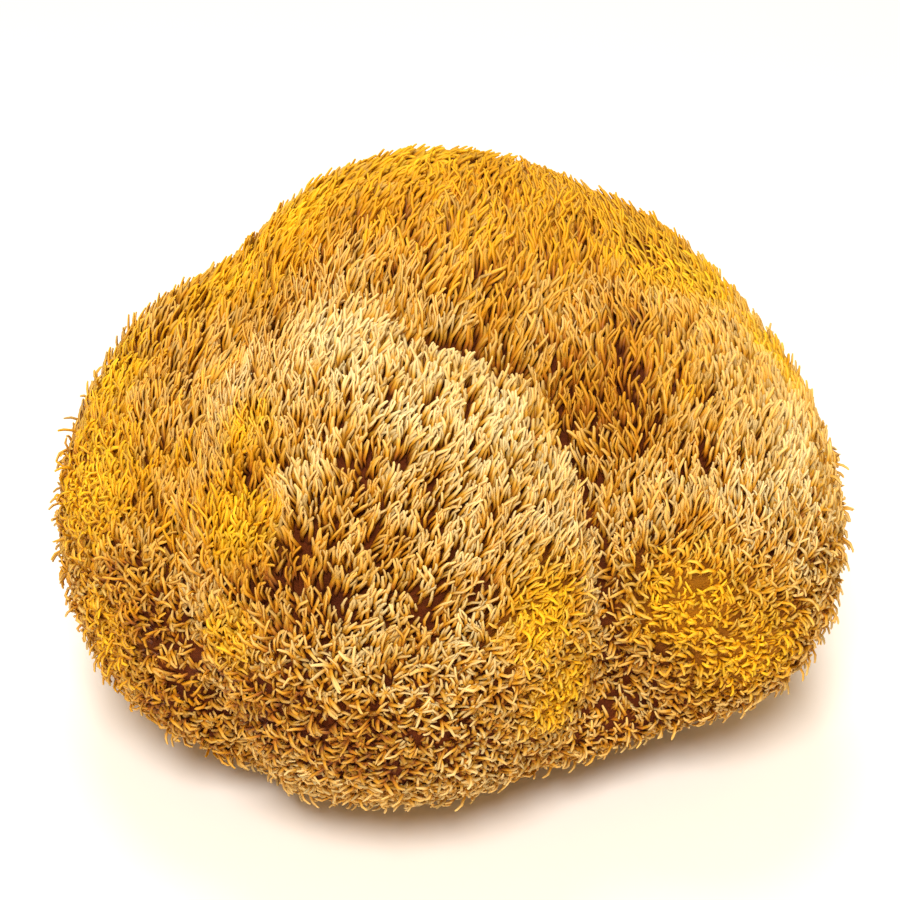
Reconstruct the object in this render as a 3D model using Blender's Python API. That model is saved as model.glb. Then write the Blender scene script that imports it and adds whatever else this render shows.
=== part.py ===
# A dried lion's mane mushroom: a cushion of lobes grown together as one body, covered on all sides
# with soft spines, all combed towards one point above its back. It rests on the flat face that is
# left where it was cut from the wood. Metres, +Z up, origin on the surface under its middle.
import math
import random

import bmesh
import bpy
import numpy as np
from mathutils.bvhtree import BVHTree

NODE = "mushroom"
COLLECTION = "dried_lions_mane_mushroom"
MM = 0.001
SEED = 7

# Each lobe as far out as its spine tips: its centre and its three half widths in mm, and its turns
# about Z, X and Y in degrees.
LOBES = {
    "crown": ((-2.0, 10.5, 37.5), (27.0, 26.5, 26.5), (-10, 2, -10)),
    "right": ((22.0, 2.0, 29.0), (20.5, 28.0, 27.5), (8, -23, -18)),
    "front": ((-6.5, -11.0, 28.0), (25.0, 25.5, 27.5), (20, -7, -2)),
    "left": ((-25.0, 0.0, 25.3), (20.0, 27.5, 23.6), (13, 11, 12)),
    "shoulder": ((16.0, 12.0, 34.5), (17.0, 19.0, 22.0), (0, 0, -9)),
    "cheek": ((-25.0, 8.0, 37.0), (14.3, 15.5, 14.3), (0, 0, 0)),
    "chin": ((-15.0, -10.0, 15.0), (18.5, 17.5, 13.5), (0, 0, 0)),
    "belly": ((8.5, 1.5, 13.2), (25.0, 25.5, 12.5), (0, 0, 0)),
}
BLEND = 7.0  # how sharply two lobes meet in a crease
HEART = (-2.0, -2.0, 28.0)  # a point that sees the whole surface, in mm
MIDDLE = (-1.0, 0.2, 0.0)  # the middle of the finished mushroom among these lobes, in mm

COAT_DEPTH = 3.4 * MM  # from the flesh to the spine tips
ROOTS = 1900  # corners of the flesh; each triangle between them carries a spine
CANDIDATES = 16000

FOOT_CENTRE = (-0.7, 1.1)  # the cut face lies under the weight, in mm
FOOT_RADIUS = 14.0 * MM
FOOT_CORNERS = 11
FOOT_MARGIN = 2.2 * MM  # bare rind round the cut face

PULL_POINT = (15.0, 40.0, 80.0)  # the spines lean towards this point, in mm
LEAN_HIGH, LEAN_LOW = 1.15, 0.6
LEAN_RISE = (8.0 * MM, 34.0 * MM)  # the lean grows between these two heights
LONGEST_HIGH, LONGEST_LOW = 7.2 * MM, 4.6 * MM
SHORTEST_SHARE = 0.84
FLOOR_GAP = 0.8 * MM  # no tip comes nearer to the floor
CLEAR_ROUNDS = 40


def turn_matrix(yaw, pitch, roll):
    y, p, r = np.radians([yaw, pitch, roll])
    about_z = np.array([[np.cos(y), -np.sin(y), 0], [np.sin(y), np.cos(y), 0], [0, 0, 1]])
    about_x = np.array([[1, 0, 0], [0, np.cos(p), -np.sin(p)], [0, np.sin(p), np.cos(p)]])
    about_y = np.array([[np.cos(r), 0, np.sin(r)], [0, 1, 0], [-np.sin(r), 0, np.cos(r)]])
    return about_z @ about_x @ about_y


def depth_field(points, coat):
    # Above 1 inside the lobes drawn in by coat, 1 on their joint surface, and below 1 outside it.
    total = np.zeros(len(points))
    for centre, half, turns in LOBES.values():
        local = (points - np.array(centre) * MM) @ turn_matrix(*turns)
        local = local / (np.array(half) * MM - coat)
        total += np.exp(BLEND * (1 - (local**2).sum(axis=1)))
    return total


def crossing(starts, directions, near, far, coat):
    # How far along each direction the surface lies, by halving the stretch between near and far.
    near = np.full(len(starts), near)
    far = np.full(len(starts), far)
    for _ in range(24):
        half_way = (near + far) / 2
        inside = depth_field(starts + directions * half_way[:, None], coat) > 1
        near = np.where(inside, half_way, near)
        far = np.where(inside, far, half_way)
    return near


def flesh_point(directions):
    # The outermost point of the flesh in each direction from the heart.
    heart = np.array(HEART) * MM
    reach = np.full(len(directions), 2 * MM)
    for distance in np.arange(4, 72, 1.0) * MM:
        inside = depth_field(heart + directions * distance, COAT_DEPTH) > 1
        reach = np.where(inside, distance, reach)
    starts = heart + directions * reach[:, None]
    return starts + directions * crossing(starts, directions, 0.0, 1.5 * MM, COAT_DEPTH)[:, None]


def golden_spiral(count):
    # Directions spread over the whole sphere.
    turn = math.pi * (1 + math.sqrt(5))
    step = np.arange(count) + 0.5
    z = 1 - 2 * step / count
    ring = np.sqrt(1 - z * z)
    return np.stack([ring * np.cos(turn * step), ring * np.sin(turn * step), z], axis=1)


def foot_ring():
    # The rim of the cut face, a little out of round.
    corners = []
    for i in range(FOOT_CORNERS):
        angle = 2 * math.pi * i / FOOT_CORNERS
        radius = FOOT_RADIUS * (1 + 0.06 * math.sin(2 * angle + 0.8) + 0.04 * math.sin(3 * angle))
        x = FOOT_CENTRE[0] * MM + radius * math.cos(angle)
        y = FOOT_CENTRE[1] * MM + radius * math.sin(angle)
        corners.append((x, y, 0.0))
    return np.array(corners)


def even_roots(foot):
    # Corners of the flesh, evenly apart: each next one is the candidate furthest from those chosen.
    candidates = flesh_point(golden_spiral(CANDIDATES))
    from_foot = np.hypot(*(candidates[:, :2] - np.array(FOOT_CENTRE) * MM).T)
    beside_foot = (from_foot < FOOT_RADIUS + FOOT_MARGIN) & (candidates[:, 2] < 12 * MM)
    candidates = candidates[~beside_foot]
    clear = np.full(len(candidates), np.inf)
    for corner in foot:
        clear = np.minimum(clear, np.linalg.norm(candidates - corner, axis=1))
    chosen = []
    while len(chosen) < ROOTS:
        furthest = int(np.argmax(clear))
        chosen.append(furthest)
        clear = np.minimum(clear, np.linalg.norm(candidates - candidates[furthest], axis=1))
    return candidates[chosen]


def flesh_mesh():
    # The body without its spines: triangles between the roots, found on a ball round the heart.
    foot = foot_ring()
    corners = np.concatenate([foot, even_roots(foot)])
    directions = corners - np.array(HEART) * MM
    directions /= np.linalg.norm(directions, axis=1, keepdims=True)
    bm = bmesh.new()
    for direction in directions:
        bm.verts.new(direction)
    bmesh.ops.convex_hull(bm, input=bm.verts)
    bm.verts.ensure_lookup_table()
    for vert, corner in zip(bm.verts, corners):
        vert.co = corner
    bmesh.ops.recalc_face_normals(bm, faces=bm.faces)
    return bm


def spine_direction(root, normal):
    # Outwards, leaning along the surface towards the pull point, and more so higher up.
    pull = np.array(PULL_POINT) * MM - root
    pull /= np.linalg.norm(pull)
    along = pull - normal * pull.dot(normal)
    low, high = LEAN_RISE
    rise = min(1.0, max(0.0, (root[2] - low) / (high - low)))
    direction = normal + along * (LEAN_LOW + (LEAN_HIGH - LEAN_LOW) * rise)
    return direction / np.linalg.norm(direction), LONGEST_LOW + (LONGEST_HIGH - LONGEST_LOW) * rise


def raise_spines(bm):
    # Every triangle clear of the cut face is raised at its middle into a three-sided spine.
    bm.verts.ensure_lookup_table()
    rim = set(bm.verts[:FOOT_CORNERS])
    covered = [face for face in bm.faces if not rim.intersection(face.verts)]
    roots = np.array([face.calc_center_median() for face in covered])
    aims = [spine_direction(r, np.array(f.normal)) for r, f in zip(roots, covered)]
    directions = np.array([aim[0] for aim in aims])
    longest = np.array([aim[1] for aim in aims])
    lengths = np.minimum(crossing(roots, directions, 0.5 * MM, 12 * MM, 0.0), longest)
    rng = random.Random(SEED)
    lengths *= np.array([rng.uniform(SHORTEST_SHARE, 1.0) for _ in covered])
    drop = np.maximum(-directions[:, 2] * lengths, 1e-9)
    lengths *= np.minimum(1.0, (roots[:, 2] - FLOOR_GAP) / drop)
    tips = bmesh.ops.poke(bm, faces=covered)["verts"]
    return tips, roots, directions, lengths


def crossing_spines(bm, tip_order):
    # The spines whose sides run through another spine. Each face is drawn in a little, so that
    # faces that only share an edge don't count.
    points, triangles, owners = [], [], []
    for face in bm.faces:
        middle = face.calc_center_median()
        triangles.append(range(len(points), len(points) + 3))
        points += [middle.lerp(vert.co, 0.985) for vert in face.verts]
        owners.append([tip_order[v.index] for v in face.verts if v.index in tip_order])
    tree = BVHTree.FromPolygons(points, triangles)
    return {tip for pair in tree.overlap(tree) if pair[0] != pair[1] for i in pair for tip in owners[i]}


def set_tips(bm, tips, roots, directions, lengths):
    for tip, root, direction, length in zip(tips, roots, directions, lengths):
        tip.co = root + direction * length


def clear_crossings(bm, tips, roots, directions, lengths):
    # In the creases spines are shortened until none runs through its neighbour.
    bm.verts.index_update()
    tip_order = {tip.index: i for i, tip in enumerate(tips)}
    for _ in range(CLEAR_ROUNDS):
        set_tips(bm, tips, roots, directions, lengths)
        crossed = sorted(crossing_spines(bm, tip_order))
        if not crossed:
            break
        lengths[crossed] *= 0.85


def spine_material():
    material = bpy.data.materials.new("dried_spines")
    material.use_nodes = True
    shader = material.node_tree.nodes["Principled BSDF"]
    shader.inputs["Base Color"].default_value = (0.72, 0.45, 0.12, 1)
    shader.inputs["Roughness"].default_value = 0.8
    shader.inputs["Metallic"].default_value = 0.0
    return material


def build_mushroom(collection):
    bm = flesh_mesh()
    tips, roots, directions, lengths = raise_spines(bm)
    clear_crossings(bm, tips, roots, directions, lengths)
    bmesh.ops.translate(bm, verts=bm.verts, vec=-np.array(MIDDLE) * MM)
    bmesh.ops.recalc_face_normals(bm, faces=bm.faces)
    mesh = bpy.data.meshes.new(NODE)
    bm.to_mesh(mesh)
    bm.free()
    mesh.materials.append(spine_material())
    mushroom = bpy.data.objects.new(NODE, mesh)
    collection.objects.link(mushroom)
    print(f"{len(tips)} spines, the shortest {min(lengths) / MM:.1f} mm, the longest {max(lengths) / MM:.1f} mm")


for leftover in list(bpy.data.objects):
    bpy.data.objects.remove(leftover)
parts = bpy.data.collections.new(COLLECTION)
bpy.context.scene.collection.children.link(parts)
build_mushroom(parts)
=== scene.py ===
# Dresses the dried lion's mane mushroom: its flesh, and the soft spines that cover it.
import math

import bmesh
import bpy
import numpy as np
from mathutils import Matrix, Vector, noise


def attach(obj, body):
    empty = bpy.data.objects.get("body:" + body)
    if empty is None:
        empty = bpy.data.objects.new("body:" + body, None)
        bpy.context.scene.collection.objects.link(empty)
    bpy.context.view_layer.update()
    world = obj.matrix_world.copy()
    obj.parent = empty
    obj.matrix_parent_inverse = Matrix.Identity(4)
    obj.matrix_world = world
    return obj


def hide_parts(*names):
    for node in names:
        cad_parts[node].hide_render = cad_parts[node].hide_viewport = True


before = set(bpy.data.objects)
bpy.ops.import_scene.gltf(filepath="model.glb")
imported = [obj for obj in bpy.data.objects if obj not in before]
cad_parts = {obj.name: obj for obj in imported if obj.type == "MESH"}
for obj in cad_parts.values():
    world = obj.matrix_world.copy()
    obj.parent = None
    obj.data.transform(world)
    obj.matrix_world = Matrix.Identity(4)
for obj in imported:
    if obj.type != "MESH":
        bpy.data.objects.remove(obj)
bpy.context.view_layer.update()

mm = 0.001

# The head: blended lobes, each out to its spine tips, as centre, half widths (mm) and turns about Z, X, Y
head = {
    "lobes": {
        "crown": ((-2.0, 10.5, 37.5), (27.0, 26.5, 26.5), (-10, 2, -10)),
        "right": ((22.0, 2.0, 29.0), (20.5, 28.0, 27.5), (8, -23, -18)),
        "front": ((-6.5, -11.0, 28.0), (25.0, 25.5, 27.5), (20, -7, -2)),
        "left": ((-25.0, 0.0, 25.3), (20.0, 27.5, 23.6), (13, 11, 12)),
        "shoulder": ((16.0, 12.0, 34.5), (17.0, 19.0, 22.0), (0, 0, -9)),
        "cheek": ((-25.5, 7.0, 36.3), (13.6, 15.0, 13.6), (0, 0, 0)),
        "chin": ((-14.0, -10.0, 15.0), (17.5, 17.5, 13.5), (0, 0, 0)),
        "belly": ((8.5, 1.5, 13.2), (25.0, 25.5, 12.5), (0, 0, 0)),
    },
    "blend": 4.5,                   # how sharply two lobes meet in a crease
    "creaseBlend": 6.0,             # and how much sharper in the creases that stay open
    "creases": {                    # spots along them (mm, from its own origin), spread, strength and dent
        "openGap": (((-0.6, -10.1, 55.2), (3.4, -12.9, 53.1), (7.4, -14.1, 50.6), (11.5, -17.1, 46.5),
                     (14.5, -20.0, 42.3), (15.6, -22.7, 36.8), (16.3, -23.8, 31.2), (16.7, -23.2, 25.3),
                     (17.4, -21.3, 18.1)), 4.5, 1.0, 0.3),
        "leftValley": (((-26.5, -12.9, 44.7), (-29.0, -17.0, 40.5), (-28.9, -21.0, 35.9),
                        (-28.2, -24.0, 30.5), (-26.4, -26.2, 24.0), (-24.4, -26.4, 17.7)), 4.5, 0.6, 1.6),
        "notch": (((-25.5, -26.4, 20.5), (-24.3, -26.4, 17.7), (-23.4, -25.9, 14.5),
                   (-21.5, -24.0, 9.0)), 4.0, 0.8, 5.0),
        "topValley": (((-26.0, -10.0, 46.0), (-24.3, -3.5, 48.7), (-20.0, 0.0, 52.5), (-15.3, -2.2, 55.2),
                       (-9.9, -5.3, 56.5), (-4.7, -8.2, 56.2), (-0.6, -10.1, 55.2)), 3.5, 0.4, 1.0),
    },
    "dentSpread": 0.7,              # a dent's width, as a share of its crease's spread
    "heart": (-2.0, -2.0, 28.0),    # sees the whole surface, mm
    "nearest": 4,                   # the surface is looked for from here to there, mm from the heart
    "furthest": 72,
    "middle": (-1.0, 0.2, 0.0),     # the mushroom's own origin among the lobes, mm
    "coatDepth": 2.1,               # flesh to spine tips, mm
    "thinCoat": 0.9,                # and how much less low down, where they curl
    "thinMat": 0.35,                # and in a mat, as a share of that
    "curlRise": (24.0, 43.0),       # between these heights the curled spines give way to combed ones, mm
    "matted": {                     # where the spines dried into a yellow mat: spot, spread, strength
        "left edge": ((-40, -8, 36), 8, 1.0),
        "left edge high": ((-38, 3, 42), 7, 0.8),
        "left low": ((-36, -18, 23), 6, 0.7),
        "crown top": ((-4, 15, 63), 7, 0.7),
        "crown top left": ((-17, 12, 58), 6, 0.8),
        "crown left": ((-24, 8, 52), 5, 0.8),
        "upper right": ((25, 6, 54), 8, 0.8),
        "right edge high": ((36, 0, 47), 6, 0.6),
        "right low": ((25, -25, 31), 7, 1.0),
        "right low edge": ((32, -22, 24), 8, 0.9),
        "front patch": ((10, -29, 34), 5.5, 1.0),
        "front patch low": ((12, -28, 23), 6, 0.9),
        "front column high": ((-21, -16, 48), 4, 0.7),
        "front column": ((-21, -24, 41), 4.5, 0.8),
        "front column low": ((-21, -28, 31), 4, 0.7),
    },
    "footCentre": (-0.7, 1.1),      # where it was cut from the wood, mm
    "footRadius": 14.0,
    "footEdge": 2.4,                # how far the bare stub spreads above the cut, mm
    "footTop": 14.0,                # nothing above this height belongs to it, mm
}

drifts = {   # soft changes over the surface: size in mm, seed and amount
    "swirl": (9.0, 1, 0.35),
    "fineSwirl": (2.4, 2, 0.70),
    "lean": (3.0, 3, 0.5),
    "length": (3.0, 4, 0.18),
    "amber": (6.0, 5, 0.25),
    "fineAmber": (2.2, 6, 0.25),
    "curl": (6.0, 7, 0.35),
    "flesh": (3.0, 8, 0.35),
    "matted": (3.0, 9, 0.25),
    "gap": (2.5, 11, 3.0),
    "sparseShadedPocket": (4.5, 12, 0.55),
    "fineSparseShadedPocket": (2.0, 13, 0.35),
}


def unit(vectors):
    return vectors / np.maximum(np.linalg.norm(vectors, axis=1, keepdims=True), 1e-9)


def turnMatrix(yaw, pitch, roll):
    y, p, r = np.radians([yaw, pitch, roll])
    aboutZ = np.array([[np.cos(y), -np.sin(y), 0], [np.sin(y), np.cos(y), 0], [0, 0, 1]])
    aboutX = np.array([[1, 0, 0], [0, np.cos(p), -np.sin(p)], [0, np.sin(p), np.cos(p)]])
    aboutY = np.array([[np.cos(r), 0, np.sin(r)], [0, 1, 0], [-np.sin(r), 0, np.cos(r)]])
    return aboutZ @ aboutX @ aboutY


def near(points, spot, spread):
    # 1 at the spot, falling smoothly to 0 (points in mm among the lobes)
    away = np.linalg.norm(points - np.array(head["middle"]) - np.array(spot), axis=1)
    return np.exp(-((away / spread) ** 2))


def drift(points, name):
    # Soft noise, up to its amount above and below 0
    size, seed, amount = drifts[name]
    shift = Vector((seed * 7.3, seed * 3.1, seed * 5.7))
    return amount * np.array([noise.noise(Vector(p) / size + shift) for p in points])


def awayFromLine(points, spots):
    # How far each point is from a line through the spots
    points = points - np.array(head["middle"])
    away = np.full(len(points), np.inf)
    for spot, following in zip(np.array(spots[:-1]), np.array(spots[1:])):
        stretch = following - spot
        share = np.clip((points - spot) @ stretch / (stretch @ stretch), 0, 1)
        away = np.minimum(away, np.linalg.norm(points - spot - share[:, None] * stretch, axis=1))
    return away


def inCrease(points):
    # 1 along the creases that stay open, 0 away from them
    creases = head["creases"].values()
    return np.max([strength * np.exp(-((awayFromLine(points, spots) / spread) ** 2))
                   for spots, spread, strength, dent in creases], axis=0)


def creaseDent(points):
    # How far the flesh sinks along the creases, mm
    creases = head["creases"].values()
    share = head["dentSpread"]
    return np.max([dent * np.exp(-((awayFromLine(points, spots) / (share * spread)) ** 2))
                   for spots, spread, strength, dent in creases], axis=0)


def lobeShares(points, drawnIn):
    # How strongly each lobe claims each point (points in mm, among the lobes)
    blend = head["blend"] + head["creaseBlend"] * inCrease(points)
    shares = []
    for centre, half, turns in head["lobes"].values():
        local = ((points - np.array(centre)) @ turnMatrix(*turns)) / (np.array(half) - drawnIn)
        shares.append(np.exp(blend * (1 - (local**2).sum(axis=1))))
    return np.stack(shares, axis=1)


def lobeFacings(points):
    # Which way the skin of every lobe would face at each point
    facings = []
    for centre, half, turns in head["lobes"].values():
        turn = turnMatrix(*turns)
        facings.append(unit(((points - np.array(centre)) @ turn / np.array(half) ** 2) @ turn.T))
    return np.stack(facings, axis=1)


def surfaceAlong(starts, ways, stretch, drawnIn):
    # The distance to the joint surface, by halving the stretch in which it lies
    inner = np.zeros(len(starts))
    outer = np.full(len(starts), float(stretch))
    for _ in range(20):
        halfWay = (inner + outer) / 2
        inside = lobeShares(starts + ways * halfWay[:, None], drawnIn).sum(axis=1) > 1
        inner = np.where(inside, halfWay, inner)
        outer = np.where(inside, outer, halfWay)
    return inner


def mattedAt(points):
    # 1 where the spines dried into a yellow mat, 0 away from there
    patches = head["matted"].values()
    matted = np.max([strength * near(points, spot, spread) for spot, spread, strength in patches], axis=0)
    return np.clip(1.5 * matted + drift(points, "matted") - 0.25, 0, 1)


def fleshPoints(ways):
    # The outermost flesh in each direction from the heart
    heart = np.array(head["heart"])
    reach = np.full(len(ways), 2.0)
    for distance in range(head["nearest"], head["furthest"]):
        inside = lobeShares(heart + ways * distance, head["coatDepth"]).sum(axis=1) > 1
        reach = np.where(inside, distance, reach)
    starts = heart + ways * reach[:, None]
    points = starts + ways * surfaceAlong(starts, ways, 1.5, head["coatDepth"])[:, None]
    outward = head["thinCoat"] * np.maximum(1 - curlRise(points), head["thinMat"] * mattedAt(points))
    return points + ways * (outward - creaseDent(points))[:, None]


def curlRise(points):
    # 0 low down, where the spines are short and curled, to 1 high up, where they are long and combed
    low, high = head["curlRise"]
    rise = (points[:, 2] - low) / (high - low)
    return np.clip(rise + drift(points, "curl"), 0, 1)


def footSpread(points):
    # 0 on the cut face, rising to 1 where the stub has widened into the head
    away = points[:, :2] - np.array(head["footCentre"])
    angle = np.arctan2(away[:, 1], away[:, 0])
    rim = head["footRadius"] * (1 + 0.06 * np.sin(2 * angle + 0.8) + 0.04 * np.sin(3 * angle))
    spread = np.clip((np.hypot(away[:, 0], away[:, 1]) - rim) / head["footEdge"], 0, 1)
    return np.where(points[:, 2] < head["footTop"], spread, 1.0)


def ballDirections(level, footCuts):
    # An even ball of directions, finer round the foot
    bm = bmesh.new()
    bmesh.ops.create_icosphere(bm, subdivisions=level, radius=1.0)
    if footCuts:
        low = [e for e in bm.edges if all(v.co.z < -0.80 for v in e.verts)]
        bmesh.ops.subdivide_edges(bm, edges=low, cuts=footCuts, use_grid_fill=True)
        bmesh.ops.triangulate(bm, faces=bm.faces)
    ways = np.array([v.co.normalized() for v in bm.verts])
    faces = np.array([[v.index for v in f.verts] for f in bm.faces])
    bm.free()
    return ways, faces


def newObject(name, points, faces):
    # points in mm among the lobes; the object sits at the origin with its place in its mesh
    mesh = bpy.data.meshes.new(name)
    placed = (points - np.array(head["middle"])) * mm
    mesh.from_pydata(placed.tolist(), [], faces.tolist())
    mesh.update()
    obj = bpy.data.objects.new(name, mesh)
    bpy.context.scene.collection.objects.link(obj)
    return obj


def hexToLinear(hexColour):
    channels = [int(hexColour[i:i + 2], 16) / 255 for i in (1, 3, 5)]
    return tuple(c / 12.92 if c <= 0.04045 else ((c + 0.055) / 1.055) ** 2.4 for c in channels) + (1.0,)


def addNode(tree, kind, settings=None, links=None):
    # A node with its properties and input values; a link comes from a socket, or from a node's first one
    node = tree.nodes.new(kind)
    for key, value in (settings or {}).items():
        if key in node.bl_rna.properties.keys():
            setattr(node, key, value)
        else:
            node.inputs[key].default_value = value
    for key, source in (links or {}).items():
        tree.links.new(source.outputs[0] if hasattr(source, "outputs") else source, node.inputs[key])
    return node


# How the spines grow and dry. Spots are in mm from the mushroom's own origin, sizes in mm, turns in radians
coat = {
    "pullPoint": (15.0, 40.0, 80.0),   # they are combed towards this point, among the lobes
    "facing": 0.7,                     # how much the roots face away from the heart
    "leanHigh": 0.70,                  # how far a root leans that way, high up and low down
    "leanLow": 0.55,
    "turnHigh": 0.85,                  # how far the spine bends over from root to tip
    "turnLow": 2.9,
    "bend": (0.55, 0.9),               # the least share of that turn, and what chance adds
    "longestHigh": 4.0,
    "longestLow": 2.5,
    "lengths": (0.76, 0.32),           # the least share of the length, and what chance adds
    "furthestTip": 12.0,
    "curlHigh": 0.20,                  # how far it bends to any side instead of with the comb
    "curlLow": 0.70,
    "floorGap": 0.35,
    "thickness": 0.45,
    "widths": (0.80, 0.35),            # the least share of the thickness, and what chance adds
    "curlWidth": (1.02, -0.06),        # the same for a straight spine, and what a full curl adds
    "profile": ((0.0, 0.82), (0.3, 0.94), (0.59, 1.0), (0.81, 1.0), (0.95, 0.90), (1.0, 0.55)),
    "linePoints": 5,                   # points along a spine, and corners round it
    "sides": 3,
    "sunk": 0.45,                      # root below the flesh's surface
    "tuftSize": 2.0,                   # spines that dried leaning together
    "tuftPull": 0.45,
    "tuftPower": 1.4,                  # the pull grows towards the tip
    "tuftGap": (0.04, 0.14),           # between tufts, as shares of their size, from bare to covered
    "tuftLoss": 0.85,                  # share of the spines that are missing there, where gaps show most
    "wave": 0.14,                      # sideways ripple, as a share of the length
    "waveTurn": 4.5,                   # its turns along a spine, and where it can start
    "waveStart": 6.28,
    "gapsLow": 0.45,                   # how much the gaps show low down, and in the sparse pockets with painted shade
    "gapsPocket": 1.2,
    "matCurl": 0.35,                   # in a mat: more curl, shorter, more yellow, with less of the pockets' painted brown shade
    "matShorter": 0.35,
    "matAmber": 0.5,
    "matPocket": 0.7,
    "creaseBare": 2.6,                 # no spines this near to the open gap, where two lobes nearly tie
    "creaseTie": 0.72,
    "openSpots": 6,                    # the gap is open along its first spots
    "notchBare": 1.7,
    "splitFrom": 0.5,                  # this deep in a crease a spine ends before the next lobe
    "splitFacing": 0.88,               # if that lobe's skin is turned at least so far away
    "shortest": 0.4,
    "groundLevel": 7,                  # how often the ball that the spines grow on is split
    "amberBase": 0.48,
    "lobeAmber": {"crown": 0.30, "shoulder": 0.26, "cheek": 0.26, "left": 0.18, "front": -0.12},
    "amber": {                         # where the coat dried more yellow, or paler (below 0)
        "front top": ((-9.7, -12.6, 54.4), 10, -0.45),
        "front right": ((5.3, -22.8, 48.1), 8, -0.45),
        "right band": ((36.4, -17.8, 38.2), 8, -0.50),
        "lower front": ((-1.6, -35.3, 23.8), 9, -0.5),
        "left valley": ((-26.6, -24.4, 32.9), 4, -0.2),
        "left edge": ((-39, -6, 36), 9, 0.4),
        "crown top": ((-2, 15, 63), 14, 0.35),
        "crown left": ((-23, 8, 53), 8, 0.4),
        "upper right": ((25, 9, 53), 12, 0.40),
        "orange slope": ((21.0, -12.0, 50.5), 6, 0.20),
        "crease edge": ((10.0, -12.0, 51.5), 5, -0.30),
        "front column": ((-21, -22, 43), 8, 0.60),
    },
    "sparseShadedPockets": {                       # where the coat is sparser and its spines painted browner as shade: spot, spread, strength
        "crown": ((-2.0, 12.0, 62.0), 16, 0.25),
        "front middle": ((-2.5, -26.5, 48.3), 11, 0.30),
        "lower front": ((-4.6, -35.7, 24.8), 9, 0.40),
        "front column foot": ((-15.5, -30.5, 38.0), 5, 0.7),
        "front column low": ((-18.5, -31.0, 24.0), 6, 0.6),
        "left low": ((-34.5, -20.5, 27.0), 7, 0.5),
        "crease slope": ((14.0, -12.5, 49.5), 7, 0.75),
        "crease slope high": ((7.5, -6.5, 56.5), 6, 0.5),
        "crease slope low": ((16.6, -15.1, 48.8), 6, 0.4),
        "dark band": ((19.8, -8.6, 53.7), 6, 0.35),
        "dark band end": ((25.7, -12.4, 51.3), 4, 0.3),
        "front column": ((-19.5, -22.0, 46.3), 4, 0.5),
        "front column middle": ((-23.2, -25.0, 38.6), 4, 0.4),
        "front foot": ((-9.5, -34.0, 21.0), 6, 0.5),
        "notch": ((16.5, -23.5, 27.0), 2.5, 0.3),
    },
    "pits": {                          # small holes in the coat: spot and radius, mm
        "front pit": ((-2.7, -33.9, 37.5), 1.0),
        "front pit left": ((-10.8, -33.0, 38.4), 0.8),
        "front pit high": ((-13.8, -28.2, 44.7), 0.8),
        "crown pit": ((-5.2, 19.3, 61.2), 1.0),
        "right pit": ((22.2, -24.1, 35.3), 0.8),
        "right pit low": ((25.7, -24.5, 34.4), 0.8),
    },
}


def storeAttribute(mesh, name, values):
    kind = "FLOAT_VECTOR" if values.ndim == 2 else "FLOAT"
    attribute = mesh.attributes.new(name, kind, "POINT")
    attribute.data.foreach_set("vector" if values.ndim == 2 else "value", values.astype(np.float32).ravel())


def vertexNormals(mesh):
    normals = np.zeros(len(mesh.vertices) * 3, np.float32)
    mesh.vertex_normals.foreach_get("vector", normals)
    return normals.reshape(-1, 3).astype(float)


def beforeNextLobe(points, ways, lengths):
    # In a crease a spine ends where it would run into the coat of the lobe beyond
    owner = lobeShares(points, head["coatDepth"]).argmax(axis=1)
    rows = np.arange(len(points))
    free = lengths.copy()
    split = inCrease(points) > coat["splitFrom"]
    for share in np.linspace(1.0, coat["shortest"], 7):
        spots = points + ways * (lengths * share)[:, None]
        other = lobeShares(spots, 0.0).argmax(axis=1)
        facings = lobeFacings(spots)
        turned = (facings[rows, owner] * facings[rows, other]).sum(axis=1) < coat["splitFacing"]
        free = np.where((other != owner) & turned & split, lengths * share, free)
    return free


def amberAt(points):
    # 0 where the tissue dried pale to 1 where it dried deep yellow
    amber = coat["amberBase"] + drift(points, "amber") + drift(points, "fineAmber")
    shares = lobeShares(points, head["coatDepth"]) ** 2
    ownAmber = np.array([coat["lobeAmber"].get(lobe, 0.0) for lobe in head["lobes"]])
    amber += shares @ ownAmber / shares.sum(axis=1)
    for spot, spread, strength in coat["amber"].values():
        amber += strength * near(points, spot, spread)
    return np.clip(amber + coat["matAmber"] * mattedAt(points), 0, 1)


def sparseShadedPocketsAt(points):
    # 1 deep in the pockets of the coat, which are sparser and painted brown as shade, 0 away from them
    sparseShadedPockets = drift(points, "sparseShadedPocket") + drift(points, "fineSparseShadedPocket")
    for spot, spread, strength in coat["sparseShadedPockets"].values():
        sparseShadedPockets += strength * near(points, spot, spread)
    return np.clip(sparseShadedPockets, 0, 1) * (1 - coat["matPocket"] * mattedAt(points))


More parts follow.
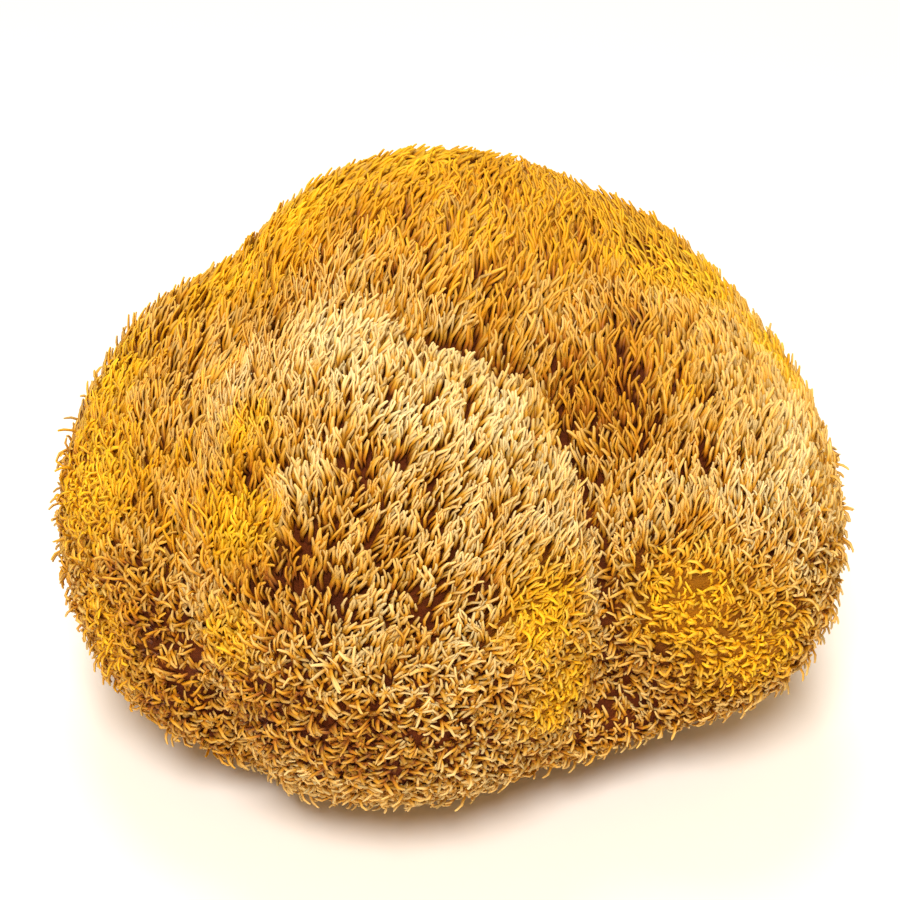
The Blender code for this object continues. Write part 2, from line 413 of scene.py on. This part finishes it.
def coatPlan(points, normals):
    # For every spot of the flesh: how its spines start, bend and curl, how long they are, and how yellow
    matted = mattedAt(points)
    rise = curlRise(points) * (1 - coat["matCurl"] * matted)
    normals = unit(normals + coat["facing"] * unit(points - np.array(head["heart"])))
    pull = unit(np.array(coat["pullPoint"]) - points)
    along = pull - normals * (pull * normals).sum(axis=1, keepdims=True)
    across = np.cross(normals, unit(along))
    swirl = drift(points, "swirl") + drift(points, "fineSwirl")
    comb = unit(unit(along) + across * swirl[:, None])
    lean = coat["leanLow"] + (coat["leanHigh"] - coat["leanLow"]) * rise
    lean = lean * (1 + drift(points, "lean"))
    start = unit(normals + comb * lean[:, None])
    turn = coat["turnLow"] + (coat["turnHigh"] - coat["turnLow"]) * rise
    curl = coat["curlLow"] + (coat["curlHigh"] - coat["curlLow"]) * rise
    chord = np.sin(turn / 2) / (turn / 2)
    ways = unit(start * np.cos(turn / 2)[:, None] + comb * np.sin(turn / 2)[:, None])
    ways = unit(ways * (1 - curl)[:, None] + start * curl[:, None])
    longest = coat["longestLow"] + (coat["longestHigh"] - coat["longestLow"]) * rise
    lengths = np.minimum(surfaceAlong(points, ways, coat["furthestTip"], 0.0), longest * chord)
    lengths = beforeNextLobe(points, ways, lengths) / chord
    lengths *= (1 + drift(points, "length")) * (1 - coat["matShorter"] * matted)
    shares = np.sort(lobeShares(points, head["coatDepth"]), axis=1)
    cover = (footSpread(points) > 0.98).astype(float)
    openSpots = head["creases"]["openGap"][0][:coat["openSpots"]]
    gap = awayFromLine(points, openSpots) + drift(points, "gap")
    cover *= 1 - (gap < coat["creaseBare"]) * (shares[:, -2] > coat["creaseTie"] * shares[:, -1])
    cover *= awayFromLine(points, head["creases"]["notch"][0]) > coat["notchBare"]
    for spot, radius in coat["pits"].values():
        away = np.linalg.norm(points - np.array(head["middle"]) - np.array(spot), axis=1)
        cover *= away**2 > away.min() ** 2 + radius**2
    # the pockets thin the spines out, and in the material they paint them browner as shade
    sparseShadedPockets = sparseShadedPocketsAt(points)
    gaps = np.clip(coat["gapsLow"] * (1 - rise) + coat["gapsPocket"] * sparseShadedPockets, 0, 1) * (1 - matted)
    return {"start": start, "comb": comb, "turn": turn, "curl": curl, "reach": lengths * mm,
            "cover": cover, "gaps": gaps, "amber": amberAt(points), "matted": matted,
            "sparseShadedPocket": sparseShadedPockets}


def coatTree():
    # Scatters roots over the flesh, grows a bent spine from each, and gives it a body
    tree = bpy.data.node_groups.new("spineCoat", "GeometryNodeTree")
    tree.interface.new_socket(name="Geometry", in_out="INPUT", socket_type="NodeSocketGeometry")
    for name in ("Spacing", "Thickness", "Sunk", "Tuft Size", "Tuft Pull", "Wave", "Floor Gap"):
        tree.interface.new_socket(name=name, in_out="INPUT", socket_type="NodeSocketFloat")
    tree.interface.new_socket(name="Seed", in_out="INPUT", socket_type="NodeSocketInt")
    tree.interface.new_socket(name="Tissue", in_out="INPUT", socket_type="NodeSocketMaterial")
    tree.interface.new_socket(name="Geometry", in_out="OUTPUT", socket_type="NodeSocketGeometry")
    given = addNode(tree, "NodeGroupInput").outputs

    # roots, evenly spread but sparse between the tufts; each keeps its place and draws its own chances
    plan = {}
    for name in ("start", "comb", "sway", "rootPlace"):
        plan[name] = addNode(tree, "GeometryNodeInputNamedAttribute",
                             {"data_type": "FLOAT_VECTOR", "Name": name})
    for name in ("turn", "curl", "reach", "cover", "gaps", "tone", "whim", "phase"):
        plan[name] = addNode(tree, "GeometryNodeInputNamedAttribute", {"data_type": "FLOAT", "Name": name})
    tuftScale = addNode(tree, "ShaderNodeMath", {"operation": "DIVIDE", 0: 1.0}, {1: given["Tuft Size"]})
    toEdge = addNode(tree, "ShaderNodeTexVoronoi",
                     {"voronoi_dimensions": "3D", "feature": "DISTANCE_TO_EDGE"},
                     {"Vector": addNode(tree, "GeometryNodeInputPosition"), "Scale": tuftScale})
    bare = addNode(tree, "ShaderNodeMapRange",
                   {"From Min": coat["tuftGap"][0], "From Max": coat["tuftGap"][1],
                    "To Min": coat["tuftLoss"], "To Max": 0.0}, {"Value": toEdge})
    bare = addNode(tree, "ShaderNodeMath", {"operation": "MULTIPLY"}, {0: bare, 1: plan["gaps"]})
    full = addNode(tree, "ShaderNodeMath", {"operation": "SUBTRACT", 0: 1.0}, {1: bare})
    full = addNode(tree, "ShaderNodeMath", {"operation": "MULTIPLY"}, {0: full, 1: plan["cover"]})
    roots = addNode(tree, "GeometryNodeDistributePointsOnFaces",
                    {"distribute_method": "POISSON", "Density Max": 1.0e7},
                    {"Mesh": given["Geometry"], "Distance Min": given["Spacing"], "Density Factor": full,
                     "Seed": given["Seed"]})
    roots = addNode(tree, "GeometryNodeStoreNamedAttribute",
                    {"data_type": "FLOAT_VECTOR", "Name": "rootPlace"},
                    {"Geometry": roots, "Value": addNode(tree, "GeometryNodeInputPosition")})
    for seed, name in enumerate(("tone", "whim", "phase")):
        chance = addNode(tree, "FunctionNodeRandomValue", {"data_type": "FLOAT", "Seed": seed})
        roots = addNode(tree, "GeometryNodeStoreNamedAttribute", {"data_type": "FLOAT", "Name": name},
                        {"Geometry": roots, "Value": chance.outputs[1]})
    chance = addNode(tree, "FunctionNodeRandomValue",
                     {"data_type": "FLOAT_VECTOR", 0: (-1, -1, -1), "Seed": 9})
    roots = addNode(tree, "GeometryNodeStoreNamedAttribute", {"data_type": "FLOAT_VECTOR", "Name": "sway"},
                    {"Geometry": roots, "Value": chance})

    # one straight line of a few points for each root; the points crowd towards the tip
    line = addNode(tree, "GeometryNodeCurvePrimitiveLine", {"End": (0, 0, 0.001)})
    line = addNode(tree, "GeometryNodeResampleCurve", {"Count": coat["linePoints"]}, {"Curve": line})
    lines = addNode(tree, "GeometryNodeInstanceOnPoints", {}, {"Points": roots, "Instance": line})
    lines = addNode(tree, "GeometryNodeRealizeInstances", {}, {"Geometry": lines})
    factor = addNode(tree, "GeometryNodeSplineParameter")
    share = addNode(tree, "ShaderNodeMath", {"operation": "MULTIPLY", 1: math.pi / 2}, {0: factor})
    share = addNode(tree, "ShaderNodeMath", {"operation": "SINE"}, {0: share})

    # the bend: an arc from the start towards the comb, or to any side where it curls
    start = addNode(tree, "ShaderNodeVectorMath", {"operation": "NORMALIZE"}, {0: plan["start"]})
    side = addNode(tree, "ShaderNodeMix", {"data_type": "VECTOR"},
                   {0: plan["curl"], 4: plan["comb"], 5: plan["sway"]}).outputs[1]
    across = addNode(tree, "ShaderNodeVectorMath", {"operation": "CROSS_PRODUCT"}, {0: start, 1: side})
    across = addNode(tree, "ShaderNodeVectorMath", {"operation": "NORMALIZE"}, {0: across})
    side = addNode(tree, "ShaderNodeVectorMath", {"operation": "CROSS_PRODUCT"}, {0: across, 1: start})
    least, more = coat["bend"]
    whim = addNode(tree, "ShaderNodeMath", {"operation": "MULTIPLY_ADD", 1: more, 2: least},
                   {0: plan["whim"]})
    turn = addNode(tree, "ShaderNodeMath", {"operation": "MULTIPLY"}, {0: plan["turn"], 1: whim})
    angle = addNode(tree, "ShaderNodeMath", {"operation": "MULTIPLY"}, {0: turn, 1: share})
    forward = addNode(tree, "ShaderNodeMath", {"operation": "SINE"}, {0: angle})
    forward = addNode(tree, "ShaderNodeMath", {"operation": "DIVIDE"}, {0: forward, 1: turn})
    over = addNode(tree, "ShaderNodeMath", {"operation": "COSINE"}, {0: angle})
    over = addNode(tree, "ShaderNodeMath", {"operation": "SUBTRACT", 0: 1.0}, {1: over})
    over = addNode(tree, "ShaderNodeMath", {"operation": "DIVIDE"}, {0: over, 1: turn})
    least, more = coat["lengths"]
    length = addNode(tree, "ShaderNodeMath", {"operation": "MULTIPLY_ADD", 1: more, 2: least},
                     {0: plan["tone"]})
    length = addNode(tree, "ShaderNodeMath", {"operation": "MULTIPLY"}, {0: length, 1: plan["reach"]})
    forward = addNode(tree, "ShaderNodeMath", {"operation": "MULTIPLY"}, {0: forward, 1: length})
    forward = addNode(tree, "ShaderNodeMath", {"operation": "SUBTRACT"}, {0: forward, 1: given["Sunk"]})
    over = addNode(tree, "ShaderNodeMath", {"operation": "MULTIPLY"}, {0: over, 1: length})

    # a sideways ripple, each spine at its own phase
    ahead = addNode(tree, "ShaderNodeMath", {"operation": "MULTIPLY", 1: coat["waveStart"]},
                    {0: plan["phase"]})
    swing = addNode(tree, "ShaderNodeMath", {"operation": "MULTIPLY_ADD", 1: coat["waveTurn"]},
                    {0: share, 2: ahead})
    swing = addNode(tree, "ShaderNodeMath", {"operation": "SINE"}, {0: swing})
    swing = addNode(tree, "ShaderNodeMath", {"operation": "MULTIPLY"}, {0: swing, 1: share})
    swing = addNode(tree, "ShaderNodeMath", {"operation": "MULTIPLY"}, {0: swing, 1: length})
    swing = addNode(tree, "ShaderNodeMath", {"operation": "MULTIPLY"}, {0: swing, 1: given["Wave"]})

    # the tips draw together in tufts
    tufts = addNode(tree, "ShaderNodeTexVoronoi", {"voronoi_dimensions": "3D", "feature": "F1"},
                    {"Vector": plan["rootPlace"], "Scale": tuftScale})
    inward = addNode(tree, "ShaderNodeVectorMath", {"operation": "SUBTRACT"},
                     {0: tufts.outputs["Position"], 1: plan["rootPlace"]})
    outPart = addNode(tree, "ShaderNodeVectorMath", {"operation": "PROJECT"}, {0: inward, 1: start})
    inward = addNode(tree, "ShaderNodeVectorMath", {"operation": "SUBTRACT"}, {0: inward, 1: outPart})
    gather = addNode(tree, "ShaderNodeMath", {"operation": "POWER", 1: coat["tuftPower"]}, {0: share})
    gather = addNode(tree, "ShaderNodeMath", {"operation": "MULTIPLY"}, {0: gather, 1: given["Tuft Pull"]})

    place = plan["rootPlace"]
    for way, amount in ((start, forward), (side, over), (across, swing), (inward, gather)):
        step = addNode(tree, "ShaderNodeVectorMath", {"operation": "SCALE"}, {0: way, "Scale": amount})
        place = addNode(tree, "ShaderNodeVectorMath", {"operation": "ADD"}, {0: place, 1: step})
    split = addNode(tree, "ShaderNodeSeparateXYZ", {}, {0: place})
    above = addNode(tree, "ShaderNodeMath", {"operation": "MAXIMUM"},
                    {0: split.outputs[2], 1: given["Floor Gap"]})
    place = addNode(tree, "ShaderNodeCombineXYZ", {}, {0: split.outputs[0], 1: split.outputs[1], 2: above})
    bent = addNode(tree, "GeometryNodeSetPosition", {}, {"Geometry": lines, "Position": place})
    bent = addNode(tree, "GeometryNodeStoreNamedAttribute", {"data_type": "FLOAT", "Name": "along"},
                   {"Geometry": bent, "Value": share})

    # an even shaft with a blunt, rounded tip
    profile = addNode(tree, "ShaderNodeFloatCurve", {}, {"Value": share})
    curve = profile.mapping.curves[0]
    curve.points[0].location = coat["profile"][0]
    curve.points[1].location = coat["profile"][-1]
    for spot in coat["profile"][1:-1]:
        curve.points.new(*spot)
    profile.mapping.update()
    least, more = coat["widths"]
    slim = addNode(tree, "ShaderNodeMath", {"operation": "MULTIPLY_ADD", 1: more, 2: least},
                   {0: plan["whim"]})
    slim = addNode(tree, "ShaderNodeMath", {"operation": "MULTIPLY"}, {0: slim, 1: given["Thickness"]})
    slim = addNode(tree, "ShaderNodeMath", {"operation": "MULTIPLY", 1: 0.5}, {0: slim})
    straight, curled = coat["curlWidth"]
    fine = addNode(tree, "ShaderNodeMath", {"operation": "MULTIPLY_ADD", 1: curled, 2: straight},
                   {0: plan["curl"]})
    slim = addNode(tree, "ShaderNodeMath", {"operation": "MULTIPLY"}, {0: slim, 1: fine})
    radius = addNode(tree, "ShaderNodeMath", {"operation": "MULTIPLY"}, {0: slim, 1: profile})
    ring = addNode(tree, "GeometryNodeCurvePrimitiveCircle", {"Resolution": coat["sides"], "Radius": 1.0})
    spines = addNode(tree, "GeometryNodeCurveToMesh", {"Fill Caps": True},
                     {"Curve": bent, "Profile Curve": ring, "Scale": radius})
    spines = addNode(tree, "GeometryNodeSetShadeSmooth", {}, {"Geometry": spines})
    spines = addNode(tree, "GeometryNodeRealizeInstances", {}, {"Geometry": spines})
    spines = addNode(tree, "GeometryNodeSetMaterial", {}, {"Geometry": spines, "Material": given["Tissue"]})
    addNode(tree, "NodeGroupOutput", {}, {"Geometry": spines})
    return tree


tissue = {          # spine colours from root to tip; the dark brown towards the root is painted shade among the crowded spines
    "pale": ((0.0, "#5A2400"), (0.32, "#A86002"), (0.62, "#D49C2A"), (1.0, "#FAE2A2")),
    "amber": ((0.0, "#5A2400"), (0.32, "#AC6200"), (0.62, "#D08C00"), (1.0, "#EAAC14")),
    "matted": ((0.0, "#B87000"), (0.4, "#E6A200"), (1.0, "#FFCC20")),
    # the dark flesh colours are painted shade down among the spines; the cut face keeps the tissue's own
    # paler colour
    "fleshShadedDark": "#360E00",
    "fleshShadedLight": "#783400",
    "fleshMatted": "#A86A02",
    "cutFace": "#D2AE74",
    "pocketPaintedShade": 0.42,                # painted shade: how much of a spine darkens like its root in a pocket
    "ownAmber": 0.3,                    # how much spines side by side differ in yellow
    "ownValue": (0.63, 1.10),           # and in brightness
    "blotchSize": 3.0,                  # mm
    "poreSize": 0.6,
    "poreDepth": 0.4,
    "cutDepth": (0.9, 0.1),             # the paler cut face fades in between these heights, mm
}


def driedSpineTissue():
    # Dried soft spines: matt and fibrous, pale or amber at the tip, painted darker towards the root,
    # caramel to brown, as shade among the spines
    material = bpy.data.materials.new("driedSpineTissue")
    material.use_nodes = True
    tree = material.node_tree
    shader = tree.nodes["Principled BSDF"]
    shader.inputs["Roughness"].default_value = 0.55
    shader.inputs["Specular IOR Level"].default_value = 0.3
    along = addNode(tree, "ShaderNodeAttribute", {"attribute_name": "along"})
    tone = addNode(tree, "ShaderNodeAttribute", {"attribute_name": "tone"})
    amber = addNode(tree, "ShaderNodeAttribute", {"attribute_name": "amber"})
    sparseShadedPocket = addNode(tree, "ShaderNodeAttribute", {"attribute_name": "sparseShadedPocket"})
    # painted shade: in a pocket the root's darker colours reach further up the spine
    depth = addNode(tree, "ShaderNodeMath", {"operation": "MULTIPLY_ADD", 1: -tissue["pocketPaintedShade"]},
                    {0: sparseShadedPocket.outputs["Fac"], 2: along.outputs["Fac"]})
    # each ramp darkens towards the root: painted shade among the crowded spines
    ramps = []
    for stops in (tissue["pale"], tissue["amber"], tissue["matted"]):
        ramp = addNode(tree, "ShaderNodeValToRGB", {}, {"Fac": depth})
        elements = ramp.color_ramp.elements
        elements[1].position = 1.0
        elements[0].color, elements[1].color = hexToLinear(stops[0][1]), hexToLinear(stops[-1][1])
        for position, colour in stops[1:-1]:
            elements.new(position).color = hexToLinear(colour)
        ramps.append(ramp)
    differ = tissue["ownAmber"]
    ownAmber = addNode(tree, "ShaderNodeMath", {"operation": "MULTIPLY_ADD", 1: differ, 2: -differ / 2},
                       {0: tone.outputs["Fac"]})
    ownAmber = addNode(tree, "ShaderNodeMath", {"operation": "ADD", "use_clamp": True},
                       {0: ownAmber, 1: amber.outputs["Fac"]})
    mixed = addNode(tree, "ShaderNodeMix", {"data_type": "RGBA"}, {0: ownAmber, 6: ramps[0], 7: ramps[1]})
    matted = addNode(tree, "ShaderNodeAttribute", {"attribute_name": "matted"})
    mixed = addNode(tree, "ShaderNodeMix", {"data_type": "RGBA"},
                    {0: matted.outputs["Fac"], 6: mixed.outputs[2], 7: ramps[2]})
    darkest, brightest = tissue["ownValue"]
    value = addNode(tree, "ShaderNodeMapRange", {"To Min": darkest, "To Max": brightest},
                    {"Value": tone.outputs["Fac"]})
    shade = addNode(tree, "ShaderNodeHueSaturation", {}, {"Color": mixed.outputs[2], "Value": value})
    tree.links.new(shade.outputs["Color"], shader.inputs["Base Color"])
    return material


def driedFlesh():
    # The spongy tissue between the spines, with fine pores: painted dark caramel and brown as shade down
    # among the spines, paler where it was cut
    material = bpy.data.materials.new("driedFlesh")
    material.use_nodes = True
    tree = material.node_tree
    shader = tree.nodes["Principled BSDF"]
    shader.inputs["Roughness"].default_value = 0.85
    shader.inputs["Specular IOR Level"].default_value = 0.2
    place = addNode(tree, "ShaderNodeTexCoord").outputs["Object"]
    blotch = addNode(tree, "ShaderNodeTexNoise", {"Scale": 1 / (tissue["blotchSize"] * mm), "Detail": 4.0},
                     {"Vector": place})
    # painted shade: dark brown flesh between the spines, blotched at random
    flesh = addNode(tree, "ShaderNodeMix", {"data_type": "RGBA", 6: hexToLinear(tissue["fleshShadedDark"]),
                                            7: hexToLinear(tissue["fleshShadedLight"])}, {0: blotch})
    matted = addNode(tree, "ShaderNodeAttribute", {"attribute_name": "matted"})
    flesh = addNode(tree, "ShaderNodeMix", {"data_type": "RGBA", 7: hexToLinear(tissue["fleshMatted"])},
                    {0: matted.outputs["Fac"], 6: flesh.outputs[2]})
    height = addNode(tree, "ShaderNodeSeparateXYZ", {}, {0: place}).outputs[2]
    top, bottom = tissue["cutDepth"]
    atCut = addNode(tree, "ShaderNodeMapRange", {"From Min": top * mm, "From Max": bottom * mm},
                    {"Value": height})
    colour = addNode(tree, "ShaderNodeMix", {"data_type": "RGBA", 7: hexToLinear(tissue["cutFace"])},
                     {0: atCut, 6: flesh.outputs[2]})
    tree.links.new(colour.outputs[2], shader.inputs["Base Color"])
    pores = addNode(tree, "ShaderNodeTexNoise",
                    {"Scale": 1 / (tissue["poreSize"] * mm), "Detail": 4.0, "Distortion": 2.5},
                    {"Vector": place})
    bump = addNode(tree, "ShaderNodeBump", {"Strength": 0.9, "Distance": tissue["poreDepth"] * mm},
                   {"Height": pores})
    tree.links.new(bump.outputs["Normal"], shader.inputs["Normal"])
    return material


underCoat = {
    "level": 5,             # how often its ball is split, and once more round the foot
    "footCuts": 1,
    "settled": 0.2,         # it lies this far under the roots, mm
}


def growFlesh(material):
    ways, faces = ballDirections(underCoat["level"], underCoat["footCuts"])
    points = fleshPoints(ways)
    points += ways * (drift(points, "flesh") - underCoat["settled"])[:, None]
    points[:, 2] *= footSpread(points)
    flesh = newObject("flesh", points, faces)
    storeAttribute(flesh.data, "matted", mattedAt(points))
    flesh.data.materials.append(material)
    flesh.data.shade_smooth()
    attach(flesh, "root")
    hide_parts("mushroom")
    print("flesh:", len(faces), "faces")


regions = {   # spines of which lobes, along which axis, from where to where and how far apart (mm)
    "crownSpines": (("crown",), 1, -99, 13, 0.42),
    "crownBackSpines": (("crown",), 1, 13, 99, 0.68),
    "shoulderSpines": (("shoulder",), 1, -99, 99, 0.52),
    "rightSpines": (("right",), 1, -99, 2, 0.38),
    "rightBackSpines": (("right",), 1, 2, 99, 0.70),
    "frontSpines": (("front",), 2, 34, 99, 0.39),
    "frontLowSpines": (("front",), 2, -99, 34, 0.32),
    "leftSpines": (("left", "cheek"), 1, -99, 2, 0.385),
    "leftBackSpines": (("left", "cheek"), 1, 2, 99, 0.68),
    "lowSpines": (("chin", "belly"), 1, -99, 99, 0.42),
}


def growCoat(material):
    ways, faces = ballDirections(coat["groundLevel"], 0)
    points = fleshPoints(ways)
    whole = newObject("coatGround", points, faces)
    plan = coatPlan(points, vertexNormals(whole.data))
    bpy.data.objects.remove(whole)
    names = list(head["lobes"])
    owner = lobeShares(points, head["coatDepth"]).argmax(axis=1)[faces[:, 0]]
    spots = points[faces[:, 0]]
    tree = coatTree()
    sockets = {item.name: item.identifier for item in tree.interface.items_tree if item.in_out == "INPUT"}
    usedUp = [label for label in plan if label not in ("amber", "matted", "sparseShadedPocket")]
    usedUp += ["rootPlace", "sway", "whim", "phase"]
    corners = coat["linePoints"] * coat["sides"]
    total = 0
    for seed, (name, (lobes, axis, start, end, spacing)) in enumerate(regions.items()):
        mine = np.isin(owner, [names.index(lobe) for lobe in lobes])
        mine &= (spots[:, axis] >= start) & (spots[:, axis] < end)
        used, local = np.unique(faces[mine], return_inverse=True)
        ground = newObject(name + "Ground", points[used], local.reshape(-1, 3))
        for key, values in plan.items():
            storeAttribute(ground.data, key, values[used])
        modifier = ground.modifiers.new("coat", "NODES")
        modifier.node_group = tree
        values = {"Spacing": spacing * mm, "Thickness": coat["thickness"] * mm, "Sunk": coat["sunk"] * mm,
                  "Tuft Size": coat["tuftSize"] * mm, "Tuft Pull": coat["tuftPull"], "Wave": coat["wave"],
                  "Floor Gap": coat["floorGap"] * mm, "Seed": seed + 3, "Tissue": material}
        for key, value in values.items():
            modifier[sockets[key]] = value
        evaluated = ground.evaluated_get(bpy.context.evaluated_depsgraph_get())
        mesh = bpy.data.meshes.new_from_object(evaluated)
        mesh.name = name
        bpy.data.objects.remove(ground)
        for label in usedUp:
            if label in mesh.attributes:
                mesh.attributes.remove(mesh.attributes[label])
        spines = bpy.data.objects.new(name, mesh)
        bpy.context.scene.collection.objects.link(spines)
        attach(spines, "root")
        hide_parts("mushroom")
        mesh.calc_loop_triangles()
        total += len(mesh.loop_triangles)
        print(name, len(mesh.vertices) // corners, "spines,", len(mesh.loop_triangles), "triangles")
    print("the coat has", total, "triangles")


stage = {
    "groundWidth": 6.0,             # m
    "groundColour": "#FDF5EA",
    "skyColour": "#FFE3B8",         # warm, so that only the shade turns golden
    "skyStrength": 0.55,
    "lampColour": "#F7FAFF",
    "lamps": {   # place (m), width (m), watts
        "mainSoftbox": ((-0.04, -0.50, 0.79), 0.36, 8.8),
        "topSoftbox": ((-0.06, 0.30, 0.90), 0.36, 3.2),
    },
    "cameraElevation": 35.0,
    "cameraDistance": 0.250,
    "cameraTarget": (0.37, 1.52, 33.46),   # mm
    "lens": 90.0,
}


def placeStage():
    # White ground that runs out of sight, under soft light from above the camera and from behind
    bpy.ops.mesh.primitive_plane_add(size=stage["groundWidth"])
    floor = bpy.context.object
    floor.name = "floor"
    paint = bpy.data.materials.new("mattWhiteGround")
    paint.use_nodes = True
    shader = paint.node_tree.nodes["Principled BSDF"]
    shader.inputs["Base Color"].default_value = hexToLinear(stage["groundColour"])
    shader.inputs["Roughness"].default_value = 0.9
    floor.data.materials.append(paint)
    world = bpy.data.worlds.new("studio")
    world.use_nodes = True
    world.node_tree.nodes["Background"].inputs["Color"].default_value = hexToLinear(stage["skyColour"])
    world.node_tree.nodes["Background"].inputs["Strength"].default_value = stage["skyStrength"]
    bpy.context.scene.world = world
    for name, (place, size, power) in stage["lamps"].items():
        lamp = bpy.data.lights.new(name, "AREA")
        lamp.shape = "DISK"
        lamp.size = size
        lamp.energy = power
        lamp.color = hexToLinear(stage["lampColour"])[:3]
        lampObject = bpy.data.objects.new(name, lamp)
        lampObject.location = place
        lampObject.rotation_euler = (-Vector(place)).to_track_quat("-Z", "Y").to_euler()
        bpy.context.scene.collection.objects.link(lampObject)
    bpy.context.scene.view_settings.view_transform = "Standard"


def placeCamera():
    camera = bpy.data.cameras.new("camera")
    camera.lens = stage["lens"]
    camera.sensor_width = 36.0
    camera.clip_start = 0.01
    rise = math.radians(stage["cameraElevation"])
    target = Vector(stage["cameraTarget"]) * mm
    cameraObject = bpy.data.objects.new("camera", camera)
    cameraObject.location = target + Vector((0, -math.cos(rise), math.sin(rise))) * stage["cameraDistance"]
    cameraObject.rotation_euler = (math.radians(90) - rise, 0, 0)
    bpy.context.scene.collection.objects.link(cameraObject)
    bpy.context.scene.camera = cameraObject


growFlesh(driedFlesh())
growCoat(driedSpineTissue())
placeStage()
placeCamera()
